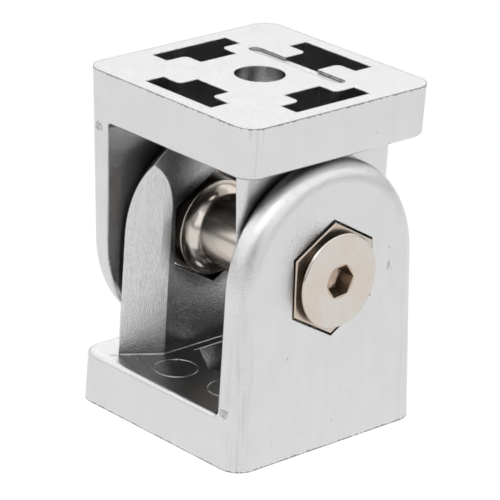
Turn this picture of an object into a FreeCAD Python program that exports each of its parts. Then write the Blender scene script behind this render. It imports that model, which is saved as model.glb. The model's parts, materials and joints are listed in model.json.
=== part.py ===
import FreeCAD, Part
import math
import os
import re
import Sketcher

# Pivot joint for square slotted profile: two identical cast halves, interleaved at their ears,
# turn about one axis and are clamped by two countersunk screws in a flared central sleeve.
# Frame: millimetres, +Z up, X along the pivot axis, origin at the centre of the lower outer face.

os.makedirs("parts", exist_ok=True)
doc = FreeCAD.newDocument("profile_pivot_joint")

# Driving dimensions: millimetres and degrees
DIMENSIONS = [
    # cast half: base plate and outer ear
    ("plate_width", 40.0),
    ("plate_thickness", 8.7),
    ("pivot_height", 29.1),
    ("draft_angle", 1.6),
    ("corner_radius", 3.5),
    ("edge_radius", 0.8),
    ("root_radius", 1.0),
    ("outer_ear_thickness", 4.69),
    # cast half: inner ear
    ("ear_gap", 0.3),
    ("inner_ear_thickness", 4.85),
    ("inner_ear_inset", 1.78),
    ("inner_ear_round", 3.4),
    ("inner_ear_draft", 0.5),
    ("slant_margin", 0.95),
    ("chamfer_angle", 55.5),
    ("crown_width", 7.9),
    ("crown_depth", 2.1),
    # windows, groove and bore of the outer face
    ("window_margin", 2.65),
    ("window_bar", 3.7),
    ("window_length", 15.8),
    ("window_stem_width", 7.7),
    ("window_stem_end", 9.95),
    ("window_depth", 6.4),
    ("window_round", 1.0),
    ("groove_length", 22.0),
    ("groove_width", 2.2),
    ("groove_far_side", 9.1),
    ("groove_depth", 0.4),
    ("plate_bore", 8.3),
    ("nut_pocket_flats", 14.7),
    ("nut_pocket_depth", 5.5),
    # hexagonal bushes and rings, and their seats in the ears
    ("hex_land", 0.275),
    ("hex_clearance", 0.3),
    ("running_clearance", 0.05),
    ("shoulder_clearance", 0.05),
    ("bush_proud", 0.25),
    ("bush_edge", 0.2),
    ("shank_clearance", 0.2),
    ("journal_wall", 2.3),
    ("ring_recess", 1.8),
    ("piece_chamfer", 0.3),
    # clamp screws
    ("screw_diameter", 8.0),
    ("screw_tip_gap", 1.5),
    ("head_diameter", 16.0),
    ("head_rim", 0.45),
    ("head_round", 0.4),
    ("head_proud", 1.8),
    ("seat_clearance", 0.05),
    ("socket_flats", 5.0),
    ("socket_depth", 3.2),
    ("socket_turn", 5.0),
    ("tip_chamfer", 0.8),
    # flared central sleeve
    ("thread_clearance", 0.05),
    ("sleeve_wall", 1.95),
    ("flange_margin", 0.125),
    ("flange_rim", 0.4),
    ("flange_proud", 0.85),
    ("flange_bevel", 0.95),
]

sheet = doc.addObject("Spreadsheet::Sheet", "sizes")
for row, (alias, value) in enumerate(DIMENSIONS, start=1):
    sheet.set("A%d" % row, alias)
    sheet.set("B%d" % row, str(value))
    sheet.setAlias("B%d" % row, alias)
doc.recompute()

# Sizes that follow from the sheet, as expressions on its cells
HALF_WIDTH = "(plate_width / 2)"
EAR_FACE = "(plate_width / 2 - pivot_height * tan(draft_angle))"
OUTER_ARCH = "(%s * cos(draft_angle))" % EAR_FACE
OUTER_EAR_BACK = "(%s - outer_ear_thickness)" % EAR_FACE
INNER_FACE = "(%s - ear_gap)" % OUTER_EAR_BACK
GAP_FACE = "(%s - inner_ear_thickness)" % INNER_FACE
INNER_ARCH = "(%s - inner_ear_inset)" % OUTER_ARCH
EAR_HEIGHT = "(pivot_height - plate_thickness)"
INNER_EAR_HALF_WIDTH = "(%s / cos(draft_angle) + %s * tan(draft_angle))" % (INNER_ARCH, EAR_HEIGHT)
ABOVE = "(pivot_height + plate_width)"
HEX_FLATS = "(head_diameter + 2 * hex_land)"
SEAT_FLATS = "(%s + 2 * hex_clearance)" % HEX_FLATS
BUSH_SHOULDER = "(%s + shoulder_clearance)" % INNER_FACE
BUSH_FACE = "(%s + bush_proud)" % EAR_FACE
BUSH_BORE = "(screw_diameter / 2 + shank_clearance)"
JOURNAL = "(%s + journal_wall)" % BUSH_BORE
RING_FACE = "(%s + ring_recess)" % GAP_FACE
HEAD_TOP = "(%s + head_proud)" % EAR_FACE
CONE_END = "(%s - head_rim)" % HEAD_TOP
THREAD_BORE = "(screw_diameter / 2 + thread_clearance)"
SLEEVE = "(%s + sleeve_wall)" % THREAD_BORE
FLANGE = "(%s / 2 - flange_margin)" % HEX_FLATS
FLANGE_FRONT = "(%s - flange_proud)" % GAP_FACE
WINDOW_OUTER = "(%s - window_margin)" % HALF_WIDTH

# A length that runs right through a half, and how far a cut runs past the surface it leaves by
THROUGH = "(3 * plate_width)"
PAST = "1"

# How close, in millimetres, a point has to lie to count as on an edge
CLOSE = 0.02


def tied(expression):
    """The same expression with every size's name pointing at its cell."""
    names = {alias for alias, value in DIMENSIONS}

    def point_at_cell(match):
        word = match.group()
        return "sizes." + word if word in names else word

    return re.sub("[a-z_]+", point_at_cell, expression)


def value_of(expression):
    """The present value of an expression."""
    return float(sheet.evalExpression(expression))


def bind(feature, name, expression):
    """Set a property by an expression on the sheet."""
    feature.setExpression(name, tied(expression))


def minus(expression):
    return "(0 - %s)" % expression


# Volume of each body after its latest feature
last_volume = {}


def origin_plane(body, role):
    """One of the body's own origin planes."""
    return [item for item in body.Origin.OriginFeatures if item.Role == role][0]


def new_body(label):
    """An empty body that is named after its piece."""
    body = doc.addObject("PartDesign::Body", label)
    body.Label = label
    return body


def new_sketch(body, name, role, height=None):
    """A sketch on an origin plane, moved along its normal by height."""
    sketch = body.newObject("Sketcher::SketchObject", name)
    sketch.AttachmentSupport = [(origin_plane(body, role), "")]
    sketch.MapMode = "FlatFace"
    if height is not None:
        bind(sketch, "AttachmentOffset.Base.z", height)
    return sketch


def tie_point(sketch, curve, end, across, upward):
    """Tie one point of a curve to its coordinates; a coordinate given as None stays free."""
    for kind, axis, expression in (("DistanceX", -2, across), ("DistanceY", -1, upward)):
        if expression is None:
            continue
        if expression == "0":
            sketch.addConstraint(Sketcher.Constraint("PointOnObject", curve, end, axis))
            continue
        now = value_of(expression)
        index = sketch.addConstraint(Sketcher.Constraint(kind, -1, 1, curve, end, now))
        bind(sketch, "Constraints[%d]" % index, expression)


def add_outline(sketch, points, arcs=None):
    """A closed outline through points (across, upward), each a pair of expressions. The curve
    that leaves the point numbered in arcs is a counter-clockwise arc about the centre given."""
    arcs = arcs or {}
    first = sketch.GeometryCount
    count = len(points)
    spots = [FreeCAD.Vector(value_of(across), value_of(upward), 0) for across, upward in points]
    for index, start in enumerate(spots):
        end = spots[(index + 1) % count]
        if index in arcs:
            centre = FreeCAD.Vector(value_of(arcs[index][0]), value_of(arcs[index][1]), 0)
            circle = Part.Circle(centre, FreeCAD.Vector(0, 0, 1), (start - centre).Length)
            angles = [math.atan2(spot.y - centre.y, spot.x - centre.x) for spot in (start, end)]
            sketch.addGeometry(Part.ArcOfCircle(circle, angles[0], angles[1]), False)
        else:
            sketch.addGeometry(Part.LineSegment(start, end), False)
    for index, (across, upward) in enumerate(points):
        curve = first + index
        before = (index - 1) % count
        sketch.addConstraint(Sketcher.Constraint("Coincident", first + before, 2, curve, 1))
        if index in arcs:
            tie_point(sketch, curve, 3, arcs[index][0], arcs[index][1])
        if before in arcs:
            # the arc's radius settles one coordinate of its last point
            centre = [value_of(expression) for expression in arcs[before]]
            flat = abs(spots[index].x - centre[0]) < abs(spots[index].y - centre[1])
            tie_point(sketch, curve, 1, across if flat else None, None if flat else upward)
        else:
            tie_point(sketch, curve, 1, across, upward)


def add_circle(sketch, across, upward, radius):
    """A circle with a tied centre and radius."""
    centre = FreeCAD.Vector(value_of(across), value_of(upward), 0)
    circle = Part.Circle(centre, FreeCAD.Vector(0, 0, 1), value_of(radius))
    curve = sketch.addGeometry(circle, False)
    tie_point(sketch, curve, 3, across, upward)
    index = sketch.addConstraint(Sketcher.Constraint("Radius", curve, value_of(radius)))
    bind(sketch, "Constraints[%d]" % index, radius)


def hexagon(flats, first_angle, upward="0"):
    """Corner points of a hexagon centred at the given height, its first corner at first_angle."""
    corners = []
    radius = "(%s / 2 / cos(30))" % flats
    for index in range(6):
        angle = "(%s + %d)" % (first_angle, 60 * index)
        across = "(%s * cos(%s))" % (radius, angle)
        corners.append((across, "(%s + %s * sin(%s))" % (upward, radius, angle)))
    return corners


def finish(body, feature, sign):
    """Recompute, make the feature the tip and check that it added (1) or removed (-1) material."""
    doc.recompute()
    body.Tip = feature
    volume = feature.Shape.Volume
    change = volume - last_volume.get(body.Name, 0.0)
    last_volume[body.Name] = volume
    if change * sign <= 0:
        raise RuntimeError("%s changed the volume by %.3f" % (feature.Name, change))
    return feature


def pad(body, sketch, name, length, taper=None):
    """Extrude a sketch along its normal."""
    feature = body.newObject("PartDesign::Pad", name)
    feature.Profile = sketch
    bind(feature, "Length", length)
    if taper is not None:
        bind(feature, "TaperAngle", taper)
    return finish(body, feature, 1)


def pocket(body, sketch, name, length, forward=False, both=False, taper=None):
    """Cut a sketch away: against its normal, along it (forward), or equally both ways."""
    feature = body.newObject("PartDesign::Pocket", name)
    feature.Profile = sketch
    feature.Reversed = forward
    if both:
        feature.SideType = "Symmetric"
    bind(feature, "Length", length)
    if taper is not None:
        bind(feature, "TaperAngle", taper)
    return finish(body, feature, -1)


def turned(body, name, points, arcs=None):
    """A turned piece: a closed half section (along the axis, radius) revolved about X."""
    sketch = new_sketch(body, name + "_section", "XZ_Plane")
    add_outline(sketch, points, arcs)
    feature = body.newObject("PartDesign::Revolution", name)
    feature.Profile = sketch
    feature.ReferenceAxis = (sketch, ["H_Axis"])
    feature.Angle = 360.0
    return finish(body, feature, 1)


def rounded(body, name, test, radius):
    """Fillet the edges of the tip whose middle point passes the test."""
    base = body.Tip
    names = []
    for index, edge in enumerate(base.Shape.Edges, start=1):
        middle = edge.valueAt((edge.FirstParameter + edge.LastParameter) / 2)
        if test(edge, middle):
            names.append("Edge%d" % index)
    feature = body.newObject("PartDesign::Fillet", name)
    feature.Base = (base, names)
    bind(feature, "Radius", radius)
    doc.recompute()
    body.Tip = feature
    last_volume[body.Name] = feature.Shape.Volume
    return feature


def near(value, target):
    return abs(value - target) < CLOSE


def rises(edge):
    """True for an edge that runs mostly upward."""
    box = edge.BoundBox
    return box.ZLength > 5 * max(box.XLength, box.YLength)


# One cast half, in its own frame: outer face at z = 0, ears upward, pivot axis at pivot_height

def add_tower(body):
    """Drafted square block that holds the plate and both ears."""
    sketch = new_sketch(body, "outer_face_outline", "XY_Plane")
    low = minus(HALF_WIDTH)
    add_outline(sketch, [(low, low), (HALF_WIDTH, low), (HALF_WIDTH, HALF_WIDTH), (low, HALF_WIDTH)])
    pad(body, sketch, "tower", "pivot_height + " + HALF_WIDTH, "0 - draft_angle")


def cut_channels(body):
    """Clear the space outside the inner ear and the gap between the two ears."""
    sketch = new_sketch(body, "channel_section", "XZ_Plane")
    floor = "plate_thickness"
    outside = minus("plate_width")
    beside = minus(INNER_FACE)
    add_outline(sketch, [(outside, floor), (beside, floor), (beside, ABOVE), (outside, ABOVE)])
    ear = OUTER_EAR_BACK
    foot = "(0 - %s + %s * tan(inner_ear_draft))" % (GAP_FACE, EAR_HEIGHT)
    head = "(0 - %s - plate_width * tan(inner_ear_draft))" % GAP_FACE
    add_outline(sketch, [(foot, floor), (ear, floor), (ear, ABOVE), (head, ABOVE)])
    pocket(body, sketch, "channels", THROUGH, both=True)


def cut_arches(body):
    """Round both ears about the pivot axis; the sides run on tangent, with the draft."""
    sides = {
        "outer": (OUTER_ARCH, None, True),
        "inner": (INNER_ARCH, INNER_EAR_HALF_WIDTH, False),
    }
    wide = "plate_width"
    for name, (radius, foot, forward) in sides.items():
        sketch = new_sketch(body, name + "_arch", "YZ_Plane")
        side = "(%s * cos(draft_angle))" % radius
        spring = "(pivot_height + %s * sin(draft_angle))" % radius
        level = "plate_thickness" if foot else spring
        points = [(side, spring), (minus(side), spring)]
        if foot:
            points.append((minus(foot), level))
        points += [(minus(wide), level), (minus(wide), ABOVE), (wide, ABOVE), (wide, level)]
        if foot:
            points.append((foot, level))
        add_outline(sketch, points, {0: ("0", "pivot_height")})
        pocket(body, sketch, name + "_arch_cut", "plate_width", forward=forward)


def round_outside(body):
    """Round the plate's upright corners and the outer rim of both ears."""
    spring = value_of("pivot_height")
    floor = value_of("plate_thickness")
    inner = value_of(INNER_FACE)
    width = value_of(HALF_WIDTH)
    lean = math.tan(math.radians(value_of("draft_angle")))

    def on_outer_rim(edge, middle):
        reach = width - middle.z * lean
        upright_corner = rises(edge) and near(abs(middle.x), reach) and near(abs(middle.y), reach)
        return upright_corner or (middle.z > spring and near(middle.x, reach))

    def on_inner_rim(edge, middle):
        return near(middle.x, -inner) and middle.z > floor + CLOSE

    rounded(body, "outer_rounding", on_outer_rim, "corner_radius")
    rounded(body, "inner_ear_rounding", on_inner_rim, "inner_ear_round")


def cut_inner_ear(body):
    """Slant the sides of the inner ear, with the draft, and ease its crown off in an arc."""
    # the slanted sides stand at their margin from the seat's flats at the pivot's height
    sketch = new_sketch(body, "slant_outline", "XY_Plane", "plate_thickness")
    reach = "(inner_ear_thickness + %s)" % PAST
    draft = "(%s * tan(draft_angle) / cos(chamfer_angle))" % EAR_HEIGHT
    edge = "(%s / 2 + slant_margin + %s)" % (SEAT_FLATS, draft)
    near_x = "(%s - %s)" % (PAST, GAP_FACE)
    near_y = "(%s - %s * tan(chamfer_angle))" % (edge, PAST)
    far_x = "(0 - %s - %s)" % (GAP_FACE, reach)
    far_y = "(%s + %s * tan(chamfer_angle))" % (edge, reach)
    wide = "plate_width"
    one_side = [(near_x, near_y), (near_x, wide), (far_x, wide), (far_x, far_y)]
    add_outline(sketch, one_side)
    add_outline(sketch, [(across, minus(upward)) for across, upward in reversed(one_side)])
    pocket(body, sketch, "slanted_sides", THROUGH, forward=True, taper="draft_angle")

    # the arc leaves the gap face tangent to it, and runs a little past the arch
    sketch = new_sketch(body, "crown_section", "XZ_Plane")
    start = "(pivot_height + %s - crown_width)" % INNER_ARCH
    radius = "((crown_width * crown_width + crown_depth * crown_depth) / (2 * crown_depth))"
    rise = "(crown_width + %s)" % PAST
    centre = "(0 - %s - %s)" % (GAP_FACE, radius)
    end = "(%s + %s)" % (start, rise)
    add_outline(sketch, [
        (minus(GAP_FACE), start),
        ("(%s + sqrt(%s * %s - %s * %s))" % (centre, radius, radius, rise, rise), end),
        ("0", end),
        ("0", start),
    ], {0: (centre, start)})
    axis = new_sketch(body, "pivot_line", "XZ_Plane")
    axis.addGeometry(Part.LineSegment(FreeCAD.Vector(-1, 1, 0), FreeCAD.Vector(1, 1, 0)), False)
    axis.addConstraint(Sketcher.Constraint("Horizontal", 0))
    tie_point(axis, 0, 1, minus(HALF_WIDTH), "pivot_height")
    tie_point(axis, 0, 2, HALF_WIDTH, None)
    feature = body.newObject("PartDesign::Groove", "crown_easing")
    feature.Profile = sketch
    feature.ReferenceAxis = (axis, ["Edge1"])
    feature.Midplane = True
    feature.Angle = 180.0
    finish(body, feature, -1)


def cut_seats(body):
    """Hexagonal seats through both ears, and the bore with its hexagonal nut pocket."""
    sketch = new_sketch(body, "hex_seat", "YZ_Plane")
    add_outline(sketch, hexagon(SEAT_FLATS, "30", "pivot_height"))
    pocket(body, sketch, "hex_seats", THROUGH, both=True)

    sketch = new_sketch(body, "nut_pocket_outline", "XY_Plane", "plate_thickness")
    add_outline(sketch, hexagon("nut_pocket_flats", "30"))
    pocket(body, sketch, "nut_pocket", "nut_pocket_depth")

    sketch = new_sketch(body, "bore_outline", "XY_Plane")
    add_circle(sketch, "0", "0", "(plate_bore / 2)")
    pocket(body, sketch, "bore", "plate_thickness", forward=True)


def cut_windows(body):
    """Four T-shaped windows in the outer face, and the shallow groove beside one of them."""
    bar = "(window_length / 2)"
    stem = "(window_stem_width / 2)"
    shoulder = "(%s - window_bar)" % WINDOW_OUTER
    sketch = new_sketch(body, "window_outline", "XY_Plane")
    points = [(stem, "window_stem_end"), (stem, shoulder), (bar, shoulder), (bar, WINDOW_OUTER)]
    mirrored = [(minus(across), upward) for across, upward in reversed(points)]
    add_outline(sketch, points + mirrored)
    window = pocket(body, sketch, "window", "window_depth", forward=True)

    pattern = body.newObject("PartDesign::PolarPattern", "windows")
    pattern.Originals = [window]
    pattern.Axis = ([item for item in body.Origin.OriginFeatures if item.Role == "Z_Axis"][0], [""])
    pattern.Angle = 360.0
    pattern.Occurrences = 4
    finish(body, pattern, -1)

    # the window beside the groove reaches up to it
    sketch = new_sketch(body, "long_stem_outline", "XY_Plane")
    near_y = "groove_far_side"
    far_y = "(window_stem_end + %s)" % PAST
    add_outline(sketch, [(minus(stem), near_y), (stem, near_y), (stem, far_y), (minus(stem), far_y)])
    pocket(body, sketch, "long_stem", "window_depth", forward=True)

    corner_x = value_of(stem)
    corner_y = value_of(shoulder)

    def on_notch(edge, middle):
        spots = sorted((abs(middle.x), abs(middle.y)))
        return rises(edge) and near(spots[0], corner_x) and near(spots[1], corner_y)

    rounded(body, "window_notches", on_notch, "window_round")

    sketch = new_sketch(body, "groove_outline", "XY_Plane")
    half = "(groove_width / 2)"
    middle = "(groove_far_side - %s)" % half
    end = "(groove_length / 2 - %s)" % half
    low = "(groove_far_side - groove_width)"
    add_outline(sketch, [
        (minus(end), low), (end, low), (end, "groove_far_side"), (minus(end), "groove_far_side"),
    ], {1: (end, middle), 3: (minus(end), middle)})
    pocket(body, sketch, "groove", "groove_depth", forward=True)


def soften_edges(body):
    """Small fillets: the outer ear's root, then the plate's and that ear's inner rim."""
    floor = value_of("plate_thickness")
    ear = value_of(OUTER_EAR_BACK)
    lean = math.tan(math.radians(value_of("draft_angle")))
    reach = value_of(HALF_WIDTH) - floor * lean

    def at_root(edge, middle):
        return near(middle.x, ear) and near(middle.z, floor)

    rounded(body, "root_rounding", at_root, "root_radius")

    root_top = floor + value_of("root_radius")

    def on_inner_rim(edge, middle):
        ends = [max(abs(vertex.X), abs(vertex.Y)) for vertex in edge.Vertexes]
        around_plate = near(middle.z, floor) and all(near(end, reach) for end in ends)
        up_the_ear = near(middle.x, ear) and middle.z > root_top + CLOSE
        return around_plate or up_the_ear

    rounded(body, "inner_rim_rounding", on_inner_rim, "edge_radius")


def add_half(label):
    """One cast half; both halves are the same casting."""
    body = new_body(label)
    add_tower(body)
    cut_channels(body)
    cut_arches(body)
    round_outside(body)
    cut_inner_ear(body)
    soften_edges(body)
    cut_seats(body)
    cut_windows(body)
    return body


# Turned and hexagonal pieces, each in a frame whose X axis is the pivot axis

def on_pivot(body, mirrored):
    """Lift a piece on to the pivot axis; the mirrored one is turned half round about Y."""
    bind(body, "Placement.Base.z", "pivot_height")
    if mirrored:
        body.Placement.Rotation = FreeCAD.Rotation(FreeCAD.Vector(0, 1, 0), 180)
    return body


def add_hexagon(body, name, start, end):
    """Hexagonal block from start to end along the axis, a clearance smaller than its seat."""
    sketch = new_sketch(body, name + "_outline", "YZ_Plane", start)
    add_outline(sketch, hexagon(HEX_FLATS, "30"))
    pad(body, sketch, name, "%s - %s" % (end, start))


def turned_cut(body, name, points):
    """Cut away a half section (along the axis, radius) revolved about X."""
    sketch = new_sketch(body, name + "_section", "XZ_Plane")
    add_outline(sketch, points)
    feature = body.newObject("PartDesign::Groove", name)
    feature.Profile = sketch
    feature.ReferenceAxis = (sketch, ["H_Axis"])
    feature.Angle = 360.0
    finish(body, feature, -1)


def add_bush(label, mirrored):
    """Outer bush: hexagon in the outer ear, journal into the inner ear, seat for the screw."""
    body = new_body(label)
    add_hexagon(body, "hexagon", BUSH_SHOULDER, BUSH_FACE)
    face = value_of(BUSH_FACE)

    def round_the_face(edge, middle):
        return near(middle.x, face)

    rounded(body, "face_rounding", round_the_face, "bush_edge")
    inward = "(%s + hex_clearance)" % RING_FACE
    turned(body, "journal", [
        (inward, "0"),
        (BUSH_FACE, "0"),
        (BUSH_FACE, JOURNAL),
        ("(%s + piece_chamfer)" % inward, JOURNAL),
        (inward, "(%s - piece_chamfer)" % JOURNAL),
    ])
    # the screw's cone is square across its sides, so its radius grows as its depth does
    throat = "(%s - head_diameter / 2 + %s - seat_clearance)" % (CONE_END, BUSH_BORE)
    outside = "(%s + %s)" % (BUSH_FACE, PAST)
    inside = "(%s - %s)" % (inward, PAST)
    turned_cut(body, "countersunk_bore", [
        (inside, "0"),
        (outside, "0"),
        (outside, "(%s + %s - %s)" % (BUSH_BORE, outside, throat)),
        (throat, BUSH_BORE),
        (inside, BUSH_BORE),
    ])
    return on_pivot(body, mirrored)


def add_ring(label, mirrored):
    """Inner ring: hexagon in the inner ear with a round bore for the other half's journal."""
    body = new_body(label)
    add_hexagon(body, "hexagon", RING_FACE, INNER_FACE)
    sketch = new_sketch(body, "bore_outline", "YZ_Plane", RING_FACE)
    add_circle(sketch, "0", "0", "(%s + running_clearance)" % JOURNAL)
    pocket(body, sketch, "bore", "%s - %s" % (INNER_FACE, RING_FACE), forward=True)
    return on_pivot(body, mirrored)


def add_screw(label, mirrored):
    """Countersunk clamp screw with a hexagonal socket."""
    body = new_body(label)
    tip = "(screw_tip_gap / 2)"
    neck = "(%s - (head_diameter - screw_diameter) / 2)" % CONE_END
    rim_centre = ("(%s - head_round)" % HEAD_TOP, "(head_diameter / 2 - head_round)")
    turned(body, "blank", [
        (tip, "0"),
        (HEAD_TOP, "0"),
        (HEAD_TOP, rim_centre[1]),
        (rim_centre[0], "(head_diameter / 2)"),
        (CONE_END, "(head_diameter / 2)"),
        (neck, "(screw_diameter / 2)"),
        ("(%s + tip_chamfer)" % tip, "(screw_diameter / 2)"),
        (tip, "(screw_diameter / 2 - tip_chamfer)"),
    ], {2: rim_centre})
    sketch = new_sketch(body, "socket_outline", "YZ_Plane", HEAD_TOP)
    add_outline(sketch, hexagon("socket_flats", "socket_turn"))
    pocket(body, sketch, "socket", "socket_depth")
    inner = "(%s - socket_depth)" % HEAD_TOP
    turned_cut(body, "socket_floor", [
        ("(%s - socket_flats / 2 * tan(30))" % inner, "0"),
        (HEAD_TOP, "0"),
        (HEAD_TOP, "(socket_flats / 2)"),
        (inner, "(socket_flats / 2)"),
    ])
    return on_pivot(body, mirrored)


def add_sleeve(label):
    """Central sleeve: threaded barrel, flared into a thin flange that seats on each ring."""
    body = new_body(label)
    seat = "(%s - shoulder_clearance)" % RING_FACE
    seat_radius = "(%s - flange_bevel)" % FLANGE
    rim_back = "(%s + flange_rim)" % FLANGE_FRONT
    flare_end = "(%s - (%s - %s))" % (FLANGE_FRONT, FLANGE, SLEEVE)
    turned(body, "sleeve", [
        (minus(seat), seat_radius),
        (minus(rim_back), FLANGE),
        (minus(FLANGE_FRONT), FLANGE),
        (minus(flare_end), SLEEVE),
        (flare_end, SLEEVE),
        (FLANGE_FRONT, FLANGE),
        (rim_back, FLANGE),
        (seat, seat_radius),
        (seat, "(%s + piece_chamfer)" % THREAD_BORE),
        ("(%s - piece_chamfer)" % seat, THREAD_BORE),
        (minus("(%s - piece_chamfer)" % seat), THREAD_BORE),
        (minus(seat), "(%s + piece_chamfer)" % THREAD_BORE),
    ], {2: (minus(flare_end), FLANGE), 4: (flare_end, FLANGE)})
    return on_pivot(body, False)


lower_half = add_half("lower_half")
upper_half = add_half("upper_half")
bind(upper_half, "Placement.Base.z", "2 * pivot_height")
upper_half.Placement.Rotation = FreeCAD.Rotation(FreeCAD.Vector(0, 1, 0), 180)

pieces = [
    lower_half,
    upper_half,
    add_bush("right_outer_bush", False),
    add_bush("left_outer_bush", True),
    add_ring("right_inner_ring", False),
    add_ring("left_inner_ring", True),
    add_sleeve("clamp_sleeve"),
    add_screw("right_clamp_screw", False),
    add_screw("left_clamp_screw", True),
]
doc.recompute()

for item in doc.Objects:
    if "Invalid" in item.State or "Error" in item.State:
        raise RuntimeError("%s failed: %s" % (item.Name, item.State))
for piece in pieces:
    if piece.Shape.isNull() or not piece.Shape.isValid() or len(piece.Shape.Solids) != 1:
        raise RuntimeError("%s is not one valid solid" % piece.Label)
for piece in pieces:
    piece.Shape.exportStep("parts/%s.step" % piece.Label)
    box = piece.Shape.optimalBoundingBox(False)
    print("%s %.1f mm3, x %.2f to %.2f, z %.2f to %.2f" % (
        piece.Label, piece.Shape.Volume, box.XMin, box.XMax, box.ZMin, box.ZMax))
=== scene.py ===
import json
import math

import bmesh
import bpy
from mathutils import Matrix, Vector


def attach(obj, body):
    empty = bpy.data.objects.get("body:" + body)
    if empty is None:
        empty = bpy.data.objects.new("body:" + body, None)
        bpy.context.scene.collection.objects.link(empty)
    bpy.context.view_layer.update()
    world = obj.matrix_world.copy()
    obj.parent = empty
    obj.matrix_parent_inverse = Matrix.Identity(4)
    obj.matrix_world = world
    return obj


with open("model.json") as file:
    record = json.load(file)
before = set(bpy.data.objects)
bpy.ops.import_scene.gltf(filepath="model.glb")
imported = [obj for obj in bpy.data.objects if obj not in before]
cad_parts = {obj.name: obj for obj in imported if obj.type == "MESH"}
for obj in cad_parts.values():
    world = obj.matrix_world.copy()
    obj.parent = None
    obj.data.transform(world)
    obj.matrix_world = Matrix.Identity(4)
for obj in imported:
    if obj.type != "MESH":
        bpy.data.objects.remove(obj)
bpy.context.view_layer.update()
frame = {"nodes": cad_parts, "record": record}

bl_info = {
    "name": "Profile pivot joint",
    "version": (1, 0, 0),
    "blender": (4, 5, 0),
    "location": "3D View > Sidebar > Pivot joint",
    "description": "Finishes the cast halves, the clamp hardware and the studio of a profile pivot joint",
    "category": "Object",
}

# The pivot axis runs along X through this point; the upper half is the lower one turned about it
PIVOT = Vector(frame["record"]["behaviour"]["joints"][0]["pos_m"])
TURNED_OVER = Matrix.Translation((0.0, 0.0, 2 * PIVOT.z)) @ Matrix.Rotation(math.pi, 4, "Y")
PLACE_OF_HALF = {"lower": Matrix.Identity(4), "upper": TURNED_OVER}
# Half the width of the square plates, and the radius of their corners
HALF_PLATE = 0.02
CORNER = 0.0035
# How far the inner ears' faces round the sleeve lie from the middle
INNER_EAR_FACE = 0.01016
# Radius round the pivot axis that holds the hexagon socket of a clamp screw
SOCKET_RADIUS = 0.0029

# Middles of the ejector pins on one side of the plate; the other side mirrors them
PIN_SPOTS = ((-0.00347, -0.01264), (0.0079, -0.01095))
# Run of the line along the slanted side of an inner ear's foot, from the foot's corner
FOOT_SLANT = (-0.005, 0.0073)
# End of the line beside the nut pocket
POCKET_LINE = (-0.0074, 0.0052)
# The gate stub sits on the plate's front face at the foot of the outer ear
GATE_MIDDLE = Vector((0.0162, -0.01973, 0.0095))
GATE_DEPTH = 0.0006
GATE_CORNERS = 18

WHITE = (1.0, 1.0, 1.0, 1.0)
# Heights of a direction, from 0 at the horizon to 1 straight up, between which the tent brightens
TENT_START = 0.06
TENT_FULL = 0.24
# Nearness to the camera's direction, 1 at the camera, between which the tent's opening darkens
OPENING_START = 0.91
OPENING_FULL = 0.985
# Rays up to this Ray Depth see white. The world counts one more than a surface does, so this is
# one reflection into the tent and two into the floor
WHITE_DEPTH = 2
# Name, place, size and power
LAMPS = (
    ("key_lamp", (0.3, -0.32, 0.62), 0.35, 0.6),
    ("back_lamp", (-0.5, 0.46, 0.33), 0.5, 0.15),
)

HARDWARE = (
    "right_outer_bush",
    "left_outer_bush",
    "right_inner_ring",
    "left_inner_ring",
    "clamp_sleeve",
    "right_clamp_screw",
    "left_clamp_screw",
)


# Sizes and colours that a user may change


def length(name, description, default):
    """A length in metres."""
    return bpy.props.FloatProperty(
        name=name, description=description, default=default, min=0.0, unit="LENGTH", precision=6
    )


def share(name, description, default):
    """A plain number from 0 to 1."""
    return bpy.props.FloatProperty(
        name=name, description=description, default=default, min=0.0, max=1.0, subtype="FACTOR"
    )


def colour(name, description, default):
    """A linear colour."""
    return bpy.props.FloatVectorProperty(
        name=name, description=description, default=default, min=0.0, max=1.0, subtype="COLOR"
    )


def offset(name, description, default):
    """A length in metres that may be negative."""
    return bpy.props.FloatProperty(
        name=name, description=description, default=default, unit="LENGTH", precision=6
    )


def level(name, description, default):
    """A brightness, where 1 is white."""
    return bpy.props.FloatProperty(name=name, description=description, default=default, min=0.0)


def angle(name, description, degrees):
    """An angle, kept in radians."""
    return bpy.props.FloatProperty(
        name=name, description=description, default=math.radians(degrees), unit="ROTATION"
    )


class CastingProperties(bpy.types.PropertyGroup):
    """Finish of the die-cast halves."""

    metal: colour("Metal", "Colour of the bare cast metal", (0.71, 0.71, 0.71))
    grime: colour("Grime", "Colour of scuffs and of the broken flash along the edges", (0.16, 0.16, 0.16))
    roughness: share("Roughness", "Roughness of the cast skin", 0.2)
    grain_size: length("Grain size", "Size of the fine bumps of the cast skin", 0.00017)
    grain_depth: length("Grain depth", "Height of the fine bumps of the cast skin", 0.00006)
    edge_radius: length("Edge radius", "Softness of the sharp edges", 0.0003)
    scuffs: share("Scuffs", "How much of the skin has small nicks", 0.42)
    # Painted shade: the metal is darkened round the inner seats, darkest at the sleeve
    seat_shade: share("Painted seat shade", "How dark the painted shade round the inner seats is", 0.75)
    seat_shade_reach: length("Painted seat shade reach", "Distance from the pivot axis that the painted shade reaches", 0.0123)


class PlatingProperties(bpy.types.PropertyGroup):
    """Finish of the nickel-plated hardware."""

    warm: colour("Warm", "Colour of the nickel plate where it is warmest", (0.65, 0.57, 0.5))
    pale: colour("Pale", "Colour of the nickel plate where it is palest", (0.65, 0.615, 0.575))
    # Painted shade: the rings' plate is darkened for the shade of the sleeve that they lie in
    ring_shade: share("Ring shade", "How much darker the rings are, which lie in the shade of the sleeve", 0.5)
    turned_roughness: share("Turned roughness", "Roughness of the turned faces of the screws", 0.13)
    sleeve_roughness: share("Sleeve roughness", "Roughness of the sleeve", 0.19)
    bush_roughness: share("Bush roughness", "Roughness of the bushes and rings", 0.3)
    turning_pitch: length("Turning pitch", "Distance between the marks of turning", 0.00012)
    turning_depth: length("Turning depth", "Depth of the marks of turning", 0.0000015)
    edge_radius: length("Edge radius", "Softness of the sharp edges", 0.0003)


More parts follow.
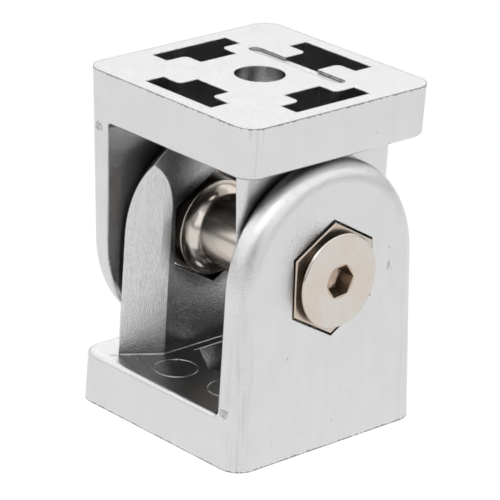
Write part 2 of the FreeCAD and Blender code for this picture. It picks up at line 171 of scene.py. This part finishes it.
class MouldMarkProperties(bpy.types.PropertyGroup):
    """Marks that the mould left on each half, measured in the half's own frame."""

    plate_thickness: length("Plate thickness", "Height of the plate's inner face", 0.0087)
    pin_diameter: length("Pin diameter", "Diameter of the ejector pins", 0.00724)
    line_width: length("Line width", "Width of the thin raised lines", 0.00016)
    line_height: length("Line height", "Height of the thin raised lines", 0.00009)
    foot_front: length("Foot front", "Distance of the inner ear's foot from the middle", 0.00917)
    foot_half_width: length("Foot half width", "Half width of the foot's flat side", 0.01053)
    gate_width: length("Gate width", "Width of the ground gate stub", 0.0017)
    gate_height: length("Gate height", "Height of the ground gate stub", 0.0017)
    gate_proud: length("Gate proud", "How far the gate stub stands out", 0.00002)


class StudioProperties(bpy.types.PropertyGroup):
    """Camera, lamps and floor."""

    azimuth: angle("Azimuth", "Camera's turn round the joint", 47.268)
    elevation: angle("Elevation", "Camera's height above the horizon", 21.565)
    roll: angle("Roll", "Camera's turn about its own axis", 2.453)
    distance: length("Distance", "Distance from the camera to the pivot", 0.54525)
    right: offset("Right", "How far the picture's middle lies right of the pivot", -0.00041)
    up: offset("Up", "How far the picture's middle lies above the pivot", -0.00125)
    focal_length: bpy.props.FloatProperty(
        name="Focal length", description="Focal length of the lens", default=240.0, unit="CAMERA"
    )
    floor: colour("Floor", "Colour of the floor", (0.9, 0.9, 0.9))
    surround: level("Surround", "Brightness of the room in deep reflections and on matt surfaces", 0.02)
    horizon: level("Horizon", "Brightness of the room near the horizon", 0.35)
    sky: level("Sky", "Brightness of the white tent above the joint", 1.21)
    shade: share("Shade", "How much darker the tent is at the opening for the camera", 0.65)
    glow: level("Glow", "Brightness that the floor has of its own", 0.88)


# Node helpers


def add_node(tree, kind, sockets=None, **settings):
    """A node whose input sockets, by name or number, get a value or a link."""
    made = tree.nodes.new(kind)
    for name, value in settings.items():
        setattr(made, name, value)
    for name, value in (sockets or {}).items():
        if isinstance(value, bpy.types.NodeSocket):
            tree.links.new(value, made.inputs[name])
        else:
            made.inputs[name].default_value = value
    return made


def calculate(tree, operation, *operands):
    """The output of a Math node."""
    sockets = dict(enumerate(operands))
    return add_node(tree, "ShaderNodeMath", sockets, operation=operation, use_clamp=False).outputs[0]


def between(tree, value, low, high):
    """0 where the value is at or below low, 1 at or above high, and smooth in between."""
    sockets = {"Value": value, "From Min": low, "From Max": high}
    made = add_node(tree, "ShaderNodeMapRange", sockets, interpolation_type="SMOOTHSTEP")
    return made.outputs["Result"]


def mix_colour(tree, factor, first, second):
    """The first colour, turned into the second one where the factor is 1."""
    made = add_node(tree, "ShaderNodeMix", data_type="RGBA")
    for name, value in (("Factor_Float", factor), ("A_Color", first), ("B_Color", second)):
        socket = [item for item in made.inputs if item.identifier == name][0]
        if isinstance(value, bpy.types.NodeSocket):
            tree.links.new(value, socket)
        else:
            socket.default_value = value
    return [item for item in made.outputs if item.identifier == "Result_Color"][0]


def scaled(given, factor):
    """The colour times the factor, with full alpha."""
    return (*(value * factor for value in given), 1.0)


def noise(tree, vector, size, detail=2.0, roughness=0.5):
    """Noise whose features are as large as size, a number or a socket in metres."""
    scale = calculate(tree, "DIVIDE", 1.0, size)
    sockets = {"Vector": vector, "Scale": scale, "Detail": detail, "Roughness": roughness}
    return add_node(tree, "ShaderNodeTexNoise", sockets).outputs["Fac"]


def pivot_radius(tree, parts):
    """The distance from the pivot axis, from the separated coordinates."""
    up = calculate(tree, "SUBTRACT", parts["Z"], PIVOT.z)
    squares = [calculate(tree, "MULTIPLY", part, part) for part in (parts["Y"], up)]
    return calculate(tree, "SQRT", calculate(tree, "ADD", squares[0], squares[1]))


def new_group(name, inputs, outputs):
    """An empty node group; inputs and outputs are pairs of a name and a socket type."""
    tree = bpy.data.node_groups.new(name, "ShaderNodeTree")
    for label, kind in inputs:
        tree.interface.new_socket(name=label, in_out="INPUT", socket_type=kind)
    for label, kind in outputs:
        tree.interface.new_socket(name=label, in_out="OUTPUT", socket_type=kind)
    entry = tree.nodes.new("NodeGroupInput")
    leave = tree.nodes.new("NodeGroupOutput")
    return tree, entry.outputs, leave.inputs


def place_group(tree, name, sockets):
    """A placed node group, made on its first use."""
    if name not in bpy.data.node_groups:
        GROUP_MAKERS[name]()
    made = tree.nodes.new("ShaderNodeGroup")
    made.node_tree = bpy.data.node_groups[name]
    for label, value in sockets.items():
        if isinstance(value, bpy.types.NodeSocket):
            tree.links.new(value, made.inputs[label])
        else:
            made.inputs[label].default_value = value
    return made.outputs


# Surface effects


def make_cast_grain():
    """Fine bumps of a cast skin and its slow change of tone."""
    tree, given, result = new_group(
        "Cast grain",
        [("Vector", "NodeSocketVector"), ("Size", "NodeSocketFloat")],
        [("Height", "NodeSocketFloat"), ("Tone", "NodeSocketFloat")],
    )
    fine = noise(tree, given["Vector"], given["Size"], detail=1.5, roughness=0.5)
    tree.links.new(fine, result["Height"])
    wide = calculate(tree, "MULTIPLY", given["Size"], 30.0)
    tree.links.new(noise(tree, given["Vector"], wide, detail=4.0), result["Tone"])


def make_scuffs():
    """Short upright nicks, few and far between."""
    tree, given, result = new_group(
        "Scuffs",
        [("Vector", "NodeSocketVector"), ("Size", "NodeSocketFloat"), ("Amount", "NodeSocketFloat")],
        [("Mask", "NodeSocketFloat")],
    )
    squeeze = {"Vector": given["Vector"], "Scale": (1.0, 1.0, 0.45)}
    upright = add_node(tree, "ShaderNodeMapping", squeeze).outputs["Vector"]
    mark = noise(tree, upright, given["Size"], detail=3.0, roughness=0.55)
    least = calculate(tree, "SUBTRACT", 0.8, calculate(tree, "MULTIPLY", given["Amount"], 0.2))
    short = between(tree, mark, least, calculate(tree, "ADD", least, 0.03))
    tree.links.new(short, result["Mask"])


def make_soft_edge():
    """Rounded normals at sharp edges, and a mask of those edges."""
    tree, given, result = new_group(
        "Soft edge",
        [("Radius", "NodeSocketFloat")],
        [("Mask", "NodeSocketFloat"), ("Normal", "NodeSocketVector")],
    )
    bevel = add_node(tree, "ShaderNodeBevel", {"Radius": given["Radius"]}, samples=6)
    flat = add_node(tree, "ShaderNodeNewGeometry")
    sockets = {0: bevel.outputs["Normal"], 1: flat.outputs["True Normal"]}
    along = add_node(tree, "ShaderNodeVectorMath", sockets, operation="DOT_PRODUCT").outputs["Value"]
    tree.links.new(between(tree, calculate(tree, "SUBTRACT", 1.0, along), 0.04, 0.2), result["Mask"])
    tree.links.new(bevel.outputs["Normal"], result["Normal"])


def make_flash_line():
    """The torn line of flash along the outer rim of a plate, and bits of flash elsewhere."""
    tree, given, result = new_group(
        "Flash line",
        [("Vector", "NodeSocketVector"), ("Edge", "NodeSocketFloat")],
        [("Mask", "NodeSocketFloat")],
    )
    parts = add_node(tree, "ShaderNodeSeparateXYZ", {"Vector": given["Vector"]}).outputs
    # How far a point lies outside the straight part of each side, and from there to the rounded rim
    beyond = []
    for axis in ("X", "Y"):
        past = calculate(tree, "SUBTRACT", calculate(tree, "ABSOLUTE", parts[axis]), HALF_PLATE - CORNER)
        beyond.append(calculate(tree, "MAXIMUM", past, 0.0))
    squares = [calculate(tree, "MULTIPLY", past, past) for past in beyond]
    from_corner = calculate(tree, "SQRT", calculate(tree, "ADD", squares[0], squares[1]))
    at_side = calculate(tree, "GREATER_THAN", from_corner, CORNER - 0.0001)
    torn = noise(tree, given["Vector"], 0.0006, detail=3.0, roughness=0.6)
    width = calculate(tree, "MULTIPLY_ADD", torn, 0.0011, -0.00037)
    line = calculate(tree, "MULTIPLY", at_side, calculate(tree, "LESS_THAN", parts["Z"], width))
    bits = between(tree, noise(tree, given["Vector"], 0.0011, detail=3.0), 0.55, 0.61)
    elsewhere = calculate(tree, "MULTIPLY", given["Edge"], bits)
    tree.links.new(calculate(tree, "MAXIMUM", line, elsewhere), result["Mask"])


def make_seat_shade():
    """Painted shade round the hexagonal seat on the inner side of an ear, darkest at the sleeve."""
    tree, given, result = new_group(
        "Seat shade",
        [("Vector", "NodeSocketVector"), ("Reach", "NodeSocketFloat")],
        [("Mask", "NodeSocketFloat")],
    )
    parts = add_node(tree, "ShaderNodeSeparateXYZ", {"Vector": given["Vector"]}).outputs
    inside = calculate(tree, "LESS_THAN", calculate(tree, "ABSOLUTE", parts["X"]), INNER_EAR_FACE + 0.00002)
    radius = pivot_radius(tree, parts)
    uneven = noise(tree, given["Vector"], 0.002)
    radius = calculate(tree, "MULTIPLY_ADD", uneven, 0.001, radius)
    reach = calculate(tree, "ADD", given["Reach"], 0.0005)
    thin = between(tree, radius, reach, calculate(tree, "SUBTRACT", reach, 0.0006))
    start = calculate(tree, "MULTIPLY", reach, 0.95)
    thick = between(tree, radius, start, calculate(tree, "MULTIPLY", reach, 0.74))
    spread = calculate(tree, "MULTIPLY_ADD", thick, 0.85, calculate(tree, "MULTIPLY", thin, 0.15))
    tree.links.new(calculate(tree, "MULTIPLY", inside, spread), result["Mask"])


def make_draw_marks():
    """Faint upright streaks where the casting was drawn from the mould, clearest at the corners."""
    tree, given, result = new_group(
        "Draw marks", [("Vector", "NodeSocketVector")], [("Mask", "NodeSocketFloat")]
    )
    parts = add_node(tree, "ShaderNodeSeparateXYZ", {"Vector": given["Vector"]}).outputs
    squeeze = {"Vector": given["Vector"], "Scale": (1.0, 1.0, 0.03)}
    upright = add_node(tree, "ShaderNodeMapping", squeeze).outputs["Vector"]
    streak = between(tree, noise(tree, upright, 0.0006, detail=2.0), 0.5, 0.62)
    sides = []
    for axis in ("X", "Y"):
        outwards = calculate(tree, "ABSOLUTE", parts[axis])
        sides.append(between(tree, outwards, HALF_PLATE - 1.6 * CORNER, HALF_PLATE))
    at_corner = calculate(tree, "MULTIPLY", sides[0], sides[1])
    amount = calculate(tree, "MULTIPLY_ADD", at_corner, 0.8, 0.2)
    tree.links.new(calculate(tree, "MULTIPLY", streak, amount), result["Mask"])


def make_turning():
    """Rings of a turned face about the pivot axis."""
    tree, given, result = new_group(
        "Turning marks",
        [("Vector", "NodeSocketVector"), ("Pitch", "NodeSocketFloat")],
        [("Height", "NodeSocketFloat"), ("Radius", "NodeSocketFloat")],
    )
    parts = add_node(tree, "ShaderNodeSeparateXYZ", {"Vector": given["Vector"]}).outputs
    radius = pivot_radius(tree, parts)
    across = add_node(tree, "ShaderNodeCombineXYZ", {"X": parts["X"], "Y": radius}).outputs["Vector"]
    tree.links.new(noise(tree, across, given["Pitch"], detail=2.0), result["Height"])
    tree.links.new(radius, result["Radius"])


GROUP_MAKERS = {
    "Cast grain": make_cast_grain,
    "Scuffs": make_scuffs,
    "Soft edge": make_soft_edge,
    "Flash line": make_flash_line,
    "Seat shade": make_seat_shade,
    "Draw marks": make_draw_marks,
    "Turning marks": make_turning,
}


# Materials


def new_material(name):
    """An empty material with its Principled shader, and the object's coordinates."""
    material = bpy.data.materials.new(name)
    material.use_nodes = True
    tree = material.node_tree
    shader = [item for item in tree.nodes if item.type == "BSDF_PRINCIPLED"][0]
    place = add_node(tree, "ShaderNodeTexCoord").outputs["Object"]
    return material, tree, shader, place


def cast_skin(tree, place, tone, sizes):
    """Colour of the skin: its slow change of tone, the draw marks and the painted shade round the inner
    seats.
    """
    dull = scaled(sizes.metal, 0.975)
    skin = mix_colour(tree, between(tree, tone, 0.35, 0.65), scaled(sizes.metal, 1.0), dull)
    drawn = place_group(tree, "Draw marks", {"Vector": place})["Mask"]
    skin = mix_colour(tree, drawn, skin, scaled(sizes.metal, 0.88))
    # Painted shade: the skin is darkened round the inner seats, darkest at the sleeve
    seat_shade = place_group(tree, "Seat shade", {"Vector": place, "Reach": sizes.seat_shade_reach})["Mask"]
    return mix_colour(tree, seat_shade, skin, scaled(sizes.metal, 1.0 - sizes.seat_shade))


def cast_wear(tree, place, edge_mask, sizes):
    """How much grime shows, on the broken flash and in the nicks."""
    rim = place_group(tree, "Flash line", {"Vector": place, "Edge": edge_mask})["Mask"]
    flash = calculate(tree, "MULTIPLY", rim, 0.75)
    scuff = place_group(tree, "Scuffs", {"Vector": place, "Size": 0.0011, "Amount": sizes.scuffs})
    return calculate(tree, "MAXIMUM", flash, calculate(tree, "MULTIPLY", scuff["Mask"], 0.4))


def add_bumps(tree, shader, depth, height, normal):
    """Bumps of that depth in metres on the shader's normal."""
    sockets = {"Strength": 1.0, "Distance": depth, "Height": height, "Normal": normal}
    bumps = add_node(tree, "ShaderNodeBump", sockets)
    tree.links.new(bumps.outputs["Normal"], shader.inputs["Normal"])


def casting_material(half, name, darker=0.0, brighter=0.0):
    """Cast metal with its grain, nicks and edges. A darker one is a ground stub, rubbed with
    grime, and a brighter one is a thin ridge, rubbed bright in bits."""
    sizes = bpy.context.scene.casting
    material, tree, shader, place = new_material(name)
    if half == "upper":
        turn = {"Vector": place, "Location": (0.0, 0.0, 2 * PIVOT.z), "Rotation": (0.0, math.pi, 0.0)}
        place = add_node(tree, "ShaderNodeMapping", turn).outputs["Vector"]
    grain = place_group(tree, "Cast grain", {"Vector": place, "Size": sizes.grain_size})
    edge = place_group(tree, "Soft edge", {"Radius": sizes.edge_radius})
    skin = cast_skin(tree, place, grain["Tone"], sizes)
    marked = cast_wear(tree, place, edge["Mask"], sizes)
    if darker:
        rubbed = between(tree, noise(tree, place, 0.0008), 0.35, 0.65)
        rubbed = calculate(tree, "MULTIPLY_ADD", rubbed, darker / 2, darker / 2)
        marked = calculate(tree, "MAXIMUM", marked, rubbed)
    if brighter:
        bits = between(tree, noise(tree, place, 0.0008), 0.38, 0.5)
        skin = mix_colour(tree, calculate(tree, "MULTIPLY", bits, brighter), skin, WHITE)
    tree.links.new(mix_colour(tree, marked, skin, scaled(sizes.grime, 1.0)), shader.inputs["Base Color"])
    shader.inputs["Metallic"].default_value = 1.0
    rough = calculate(tree, "MULTIPLY_ADD", grain["Tone"], 0.1, sizes.roughness - 0.05)
    rougher = calculate(tree, "MULTIPLY_ADD", marked, 0.25, rough)
    tree.links.new(rougher, shader.inputs["Roughness"])
    add_bumps(tree, shader, sizes.grain_depth, grain["Height"], edge["Normal"])
    return material


def plating_material(name, roughness, ring_shade=0.0, browned=0.0):
    """Bright nickel plate over turned steel, duller inside the socket of a screw. The third argument
    is painted shade, which makes the plate darker, and browned is the least share of brown in it."""
    sizes = bpy.context.scene.plating
    material, tree, shader, place = new_material(name)
    edge = place_group(tree, "Soft edge", {"Radius": sizes.edge_radius})
    turning = place_group(tree, "Turning marks", {"Vector": place, "Pitch": sizes.turning_pitch})
    cloud = noise(tree, place, 0.0015, detail=4.0)
    warm = scaled(sizes.warm, 1.0 - ring_shade)
    pale = scaled(sizes.pale, 1.0 - ring_shade)
    brown = (warm[0] * 0.85, warm[1] * 0.72, warm[2] * 0.6, 1.0)
    sheen = between(tree, noise(tree, place, 0.009), 0.4, 0.62)
    plate = mix_colour(tree, sheen, warm, pale)
    socket = calculate(tree, "LESS_THAN", turning["Radius"], SOCKET_RADIUS)
    stain = calculate(tree, "MULTIPLY", between(tree, cloud, 0.5, 0.8), 0.2)
    stain = calculate(tree, "MAXIMUM", stain, calculate(tree, "MULTIPLY", socket, 0.7))
    stain = calculate(tree, "MAXIMUM", stain, browned)
    tree.links.new(mix_colour(tree, stain, plate, brown), shader.inputs["Base Color"])
    shader.inputs["Metallic"].default_value = 1.0
    rough = calculate(tree, "MULTIPLY_ADD", cloud, 0.04, roughness - 0.02)
    rough = calculate(tree, "MULTIPLY_ADD", socket, 0.25, rough)
    tree.links.new(rough, shader.inputs["Roughness"])
    add_bumps(tree, shader, sizes.turning_depth, turning["Height"], edge["Normal"])
    return material


def dress(node, material):
    """Give a CAD node its material."""
    mesh = frame["nodes"][node].data
    mesh.materials.clear()
    mesh.materials.append(material)


# Pieces that this file adds


def finish_piece(name, mesh_in_work, half, material):
    """Turn a bmesh in the half's own frame into an object that rides on that half."""
    mesh_in_work.transform(PLACE_OF_HALF[half])
    bmesh.ops.recalc_face_normals(mesh_in_work, faces=mesh_in_work.faces)
    mesh = bpy.data.meshes.new(name)
    mesh_in_work.to_mesh(mesh)
    mesh_in_work.free()
    piece = bpy.data.objects.new(name, mesh)
    bpy.context.scene.collection.objects.link(piece)
    piece.data.materials.append(material)
    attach(piece, half)
    return piece


def add_ridge(mesh_in_work, start, end, width, height):
    """A thin raised line with a round back between two points of a level face."""
    run = end - start
    middle = (start + end) / 2
    scale = Matrix.Diagonal((run.length + width, width, 2 * height, 1.0))
    turn = Matrix.Rotation(math.atan2(run.y, run.x), 4, "Z")
    made = bmesh.ops.create_cube(mesh_in_work, size=1.0, matrix=Matrix.Translation(middle) @ turn @ scale)
    along = [edge for edge in {edge for vert in made["verts"] for edge in vert.link_edges}
             if edge.calc_length() > width * 1.5 and edge.verts[0].co.z > start.z]
    bmesh.ops.bevel(
        mesh_in_work, geom=along, offset=height * 0.8, segments=2, profile=0.5, affect="EDGES", material=-1
    )


def casting_of(half):
    """The casting material of one half, made on its first use."""
    name = "casting_" + half
    return bpy.data.materials.get(name) or casting_material(half, name)


def ridge_of(half):
    """The material of the thin raised lines of one half, made on its first use."""
    name = "ridge_" + half
    return bpy.data.materials.get(name) or casting_material(half, name, brighter=1.0)


class JOINT_OT_casting(bpy.types.Operator):
    """Give both cast halves their skin of matt die-cast metal"""

    bl_idname = "joint.casting"
    bl_label = "Cast halves"

    def execute(self, context):
        for half in PLACE_OF_HALF:
            dress(half + "_half", casting_of(half))
        return {"FINISHED"}


class JOINT_OT_hardware(bpy.types.Operator):
    """Give the bushes, rings, sleeve and clamp screws their bright nickel plate"""

    bl_idname = "joint.hardware"
    bl_label = "Plated hardware"

    def execute(self, context):
        sizes = context.scene.plating
        turned = plating_material("nickel_turned", sizes.turned_roughness)
        finish = {
            "bush": plating_material("nickel_bush", sizes.bush_roughness, browned=0.4),
            # The rings get painted shade: their plate is darkened, as they lie in the shade of the sleeve
            "ring": plating_material("nickel_ring", sizes.bush_roughness, ring_shade=sizes.ring_shade),
            "sleeve": plating_material("nickel_sleeve", sizes.sleeve_roughness),
        }
        for node in HARDWARE:
            dress(node, finish.get(node.split("_")[-1], turned))
        return {"FINISHED"}


class JOINT_OT_ejector_rings(bpy.types.Operator):
    """Add the thin rings that the ejector pins left on the inner face of each plate"""

    bl_idname = "joint.ejector_rings"
    bl_label = "Ejector rings"

    def execute(self, context):
        sizes = context.scene.mould_marks
        for half in PLACE_OF_HALF:
            mesh_in_work = bmesh.new()
            for across, along in PIN_SPOTS:
                for side in (1, -1):
                    self.add_ring(mesh_in_work, Vector((across, along * side, sizes.plate_thickness)), sizes)
            finish_piece(half + "_ejector_rings", mesh_in_work, half, ridge_of(half))
        return {"FINISHED"}

    def add_ring(self, mesh_in_work, centre, sizes):
        """A round-backed ridge, spun about the pin's own axis."""
        radius = sizes.pin_diameter / 2
        section = [
            (radius - sizes.line_width / 2, -sizes.line_height),
            (radius + sizes.line_width / 2, -sizes.line_height),
            (radius + sizes.line_width / 4, sizes.line_height),
            (radius - sizes.line_width / 4, sizes.line_height),
        ]
        verts = [mesh_in_work.verts.new(centre + Vector((across, 0.0, up))) for across, up in section]
        edges = [mesh_in_work.edges.new((verts[index - 1], verts[index])) for index in range(len(verts))]
        bmesh.ops.spin(
            mesh_in_work, geom=verts + edges, cent=centre, axis=(0, 0, 1), dvec=(0, 0, 0),
            angle=math.tau, steps=64, use_merge=True, use_duplicate=False,
        )


class JOINT_OT_core_lines(bpy.types.Operator):
    """Add the thin raised lines round the foot of each inner ear and beside the nut pocket"""

    bl_idname = "joint.core_lines"
    bl_label = "Core lines"

    def execute(self, context):
        sizes = context.scene.mould_marks
        face = sizes.plate_thickness
        feet = [Vector((-sizes.foot_front, side * sizes.foot_half_width, face)) for side in (1, -1)]
        slants = [Vector((FOOT_SLANT[0], side * FOOT_SLANT[1], 0.0)) for side in (1, -1)]
        pocket = [Vector((POCKET_LINE[0], side * POCKET_LINE[1], face)) for side in (1, -1)]
        lines = [(foot, foot + slant) for foot, slant in zip(feet, slants)]
        lines += [feet, pocket]
        for half in PLACE_OF_HALF:
            mesh_in_work = bmesh.new()
            for start, end in lines:
                add_ridge(mesh_in_work, start, end, sizes.line_width, sizes.line_height)
            finish_piece(half + "_core_lines", mesh_in_work, half, ridge_of(half))
        return {"FINISHED"}


class JOINT_OT_gate_stubs(bpy.types.Operator):
    """Add the small ground gate stub at the foot of each outer ear"""

    bl_idname = "joint.gate_stubs"
    bl_label = "Gate stubs"

    def execute(self, context):
        sizes = context.scene.mould_marks
        middle = GATE_MIDDLE - Vector((0.0, sizes.gate_proud, 0.0))
        for half in PLACE_OF_HALF:
            mesh_in_work = bmesh.new()
            self.add_stub(mesh_in_work, middle, sizes)
            material = casting_material(half, "gate_stub_" + half, darker=0.5)
            finish_piece(half + "_gate_stub", mesh_in_work, half, material)
        return {"FINISHED"}

    def add_stub(self, mesh_in_work, middle, sizes):
        """A flat stub with a torn outline."""
        front = []
        for index in range(GATE_CORNERS):
            turn = math.tau * index / GATE_CORNERS
            torn = 1.0 + 0.16 * math.sin(3.7 * index) + 0.1 * math.sin(7.3 * index)
            across = sizes.gate_width / 2 * torn * math.cos(turn)
            up = sizes.gate_height / 2 * torn * math.sin(turn)
            front.append(mesh_in_work.verts.new(middle + Vector((across, 0.0, up))))
        face = mesh_in_work.faces.new(front)
        made = bmesh.ops.extrude_face_region(mesh_in_work, geom=[face], use_keep_orig=True)
        back = [item for item in made["geom"] if isinstance(item, bmesh.types.BMVert)]
        bmesh.ops.translate(mesh_in_work, vec=(0.0, GATE_DEPTH, 0.0), verts=back)


# Studio


def white_to_the_eye(tree, shader_for_light, white):
    """The white shader for what the eye sees, straight or in the first reflections, and the other
    one for the light that bounces on between the ears."""
    path = add_node(tree, "ShaderNodeLightPath").outputs
    early = calculate(tree, "LESS_THAN", path["Ray Depth"], WHITE_DEPTH + 0.5)
    glossy = calculate(tree, "MULTIPLY", path["Is Glossy Ray"], early)
    seen = calculate(tree, "MAXIMUM", path["Is Camera Ray"], glossy)
    seen = calculate(tree, "MAXIMUM", seen, path["Is Transmission Ray"])
    return add_node(tree, "ShaderNodeMixShader", {0: seen, 1: shader_for_light, 2: white}).outputs[0]


def towards_camera(sizes):
    """The direction from the joint to the camera of the main picture."""
    turn, rise = sizes.azimuth, sizes.elevation
    return Vector((math.sin(turn) * math.cos(rise), -math.cos(turn) * math.cos(rise), math.sin(rise)))


def add_lamp(name, place, size, power):
    """A square lamp that faces the pivot."""
    lamp = bpy.data.lights.new(name, "AREA")
    lamp.shape = "SQUARE"
    lamp.size = size
    lamp.energy = power
    made = bpy.data.objects.new(name, lamp)
    made.location = place
    made.rotation_mode = "QUATERNION"
    made.rotation_quaternion = (PIVOT - Vector(place)).to_track_quat("-Z", "Y")
    bpy.context.scene.collection.objects.link(made)


class JOINT_OT_studio(bpy.types.Operator):
    """Set up the white floor and surround, the soft lamps and the camera"""

    bl_idname = "joint.studio"
    bl_label = "Studio"

    def execute(self, context):
        sizes = context.scene.studio
        context.scene.view_settings.view_transform = "Standard"
        self.add_surround(context, sizes)
        self.add_floor(context, sizes)
        for lamp in LAMPS:
            add_lamp(*lamp)
        self.add_camera(context, sizes)
        return {"FINISHED"}

    def add_surround(self, context, sizes):
        world = bpy.data.worlds.new("surround")
        world.use_nodes = True
        tree = world.node_tree
        tree.nodes.clear()
        light = add_node(tree, "ShaderNodeBackground", {"Color": WHITE, "Strength": sizes.surround})
        direction = add_node(tree, "ShaderNodeTexCoord").outputs["Generated"]
        rise = add_node(tree, "ShaderNodeSeparateXYZ", {"Vector": direction}).outputs["Z"]
        sockets = {
            "Value": rise,
            "From Min": TENT_START,
            "From Max": TENT_FULL,
            "To Min": sizes.horizon,
            "To Max": sizes.sky,
        }
        tent = add_node(tree, "ShaderNodeMapRange", sockets, interpolation_type="SMOOTHSTEP")
        sockets = {0: direction, 1: towards_camera(sizes)}
        near = add_node(tree, "ShaderNodeVectorMath", sockets, operation="DOT_PRODUCT").outputs["Value"]
        opening = between(tree, near, OPENING_START, OPENING_FULL)
        shade = calculate(tree, "MULTIPLY", opening, sizes.shade)
        lit = calculate(tree, "MULTIPLY", tent.outputs["Result"], calculate(tree, "SUBTRACT", 1.0, shade))
        eye = add_node(tree, "ShaderNodeLightPath").outputs["Is Camera Ray"]
        brightness = calculate(tree, "MAXIMUM", lit, eye)
        white = add_node(tree, "ShaderNodeBackground", {"Color": WHITE, "Strength": brightness})
        mixed = white_to_the_eye(tree, light.outputs[0], white.outputs[0])
        add_node(tree, "ShaderNodeOutputWorld", {"Surface": mixed})
        world.cycles.sampling_method = "NONE"
        context.scene.world = world

    def add_floor(self, context, sizes):
        mesh_in_work = bmesh.new()
        bmesh.ops.create_circle(mesh_in_work, cap_ends=True, radius=3.0, segments=64)
        mesh = bpy.data.meshes.new("floor")
        mesh_in_work.to_mesh(mesh)
        mesh_in_work.free()
        floor = bpy.data.objects.new("floor", mesh)
        context.scene.collection.objects.link(floor)
        material = bpy.data.materials.new("floor_paper")
        material.use_nodes = True
        tree = material.node_tree
        tree.nodes.clear()
        paper = add_node(tree, "ShaderNodeBsdfDiffuse", {"Color": (*sizes.floor, 1.0)}).outputs[0]
        eye = add_node(tree, "ShaderNodeLightPath").outputs["Is Camera Ray"]
        # The camera sees the paper a little brighter, so that it reaches white
        brightness = calculate(tree, "MULTIPLY_ADD", eye, 0.05, sizes.glow)
        glow = add_node(tree, "ShaderNodeEmission", {"Color": WHITE, "Strength": brightness}).outputs[0]
        both = add_node(tree, "ShaderNodeAddShader", {0: paper, 1: glow}).outputs[0]
        mixed = white_to_the_eye(tree, paper, both)
        add_node(tree, "ShaderNodeOutputMaterial", {"Surface": mixed})
        material.cycles.emission_sampling = "NONE"
        floor.data.materials.append(material)

    def add_camera(self, context, sizes):
        back = towards_camera(sizes)
        right = Vector((0, 0, 1)).cross(back).normalized()
        up = back.cross(right)
        right, up = (
            math.cos(sizes.roll) * right + math.sin(sizes.roll) * up,
            math.cos(sizes.roll) * up - math.sin(sizes.roll) * right,
        )
        camera = bpy.data.objects.new("camera", bpy.data.cameras.new("camera"))
        camera.data.lens = sizes.focal_length
        camera.data.clip_start = 0.01
        place = PIVOT + sizes.distance * back + sizes.right * right + sizes.up * up
        camera.matrix_world = Matrix((
            (right.x, up.x, back.x, place.x),
            (right.y, up.y, back.y, place.y),
            (right.z, up.z, back.z, place.z),
            (0, 0, 0, 1),
        ))
        context.scene.collection.objects.link(camera)
        context.scene.camera = camera


PIECE_OPERATORS = (
    JOINT_OT_casting,
    JOINT_OT_hardware,
    JOINT_OT_ejector_rings,
    JOINT_OT_core_lines,
    JOINT_OT_gate_stubs,
    JOINT_OT_studio,
)

SETTINGS = {
    "casting": CastingProperties,
    "plating": PlatingProperties,
    "mould_marks": MouldMarkProperties,
    "studio": StudioProperties,
}


class JOINT_PT_panel(bpy.types.Panel):
    """Lists the steps and their sizes."""

    bl_idname = "JOINT_PT_panel"
    bl_label = "Pivot joint"
    bl_space_type = "VIEW_3D"
    bl_region_type = "UI"
    bl_category = "Pivot joint"

    def draw(self, context):
        for operator in PIECE_OPERATORS:
            self.layout.operator(operator.bl_idname)
        for name, group in SETTINGS.items():
            box = self.layout.box()
            box.label(text=group.__doc__)
            for size in group.__annotations__:
                box.prop(getattr(context.scene, name), size)


def register():
    for group in SETTINGS.values():
        bpy.utils.register_class(group)
    for name, group in SETTINGS.items():
        setattr(bpy.types.Scene, name, bpy.props.PointerProperty(type=group))
    for operator in PIECE_OPERATORS:
        bpy.utils.register_class(operator)
    bpy.utils.register_class(JOINT_PT_panel)


def unregister():
    bpy.utils.unregister_class(JOINT_PT_panel)
    for operator in reversed(PIECE_OPERATORS):
        bpy.utils.unregister_class(operator)
    for name, group in SETTINGS.items():
        delattr(bpy.types.Scene, name)
        bpy.utils.unregister_class(group)


def main():
    register()
    bpy.ops.joint.casting()
    bpy.ops.joint.hardware()
    bpy.ops.joint.ejector_rings()
    bpy.ops.joint.core_lines()
    bpy.ops.joint.gate_stubs()
    bpy.ops.joint.studio()


if __name__ == "__main__":
    main()
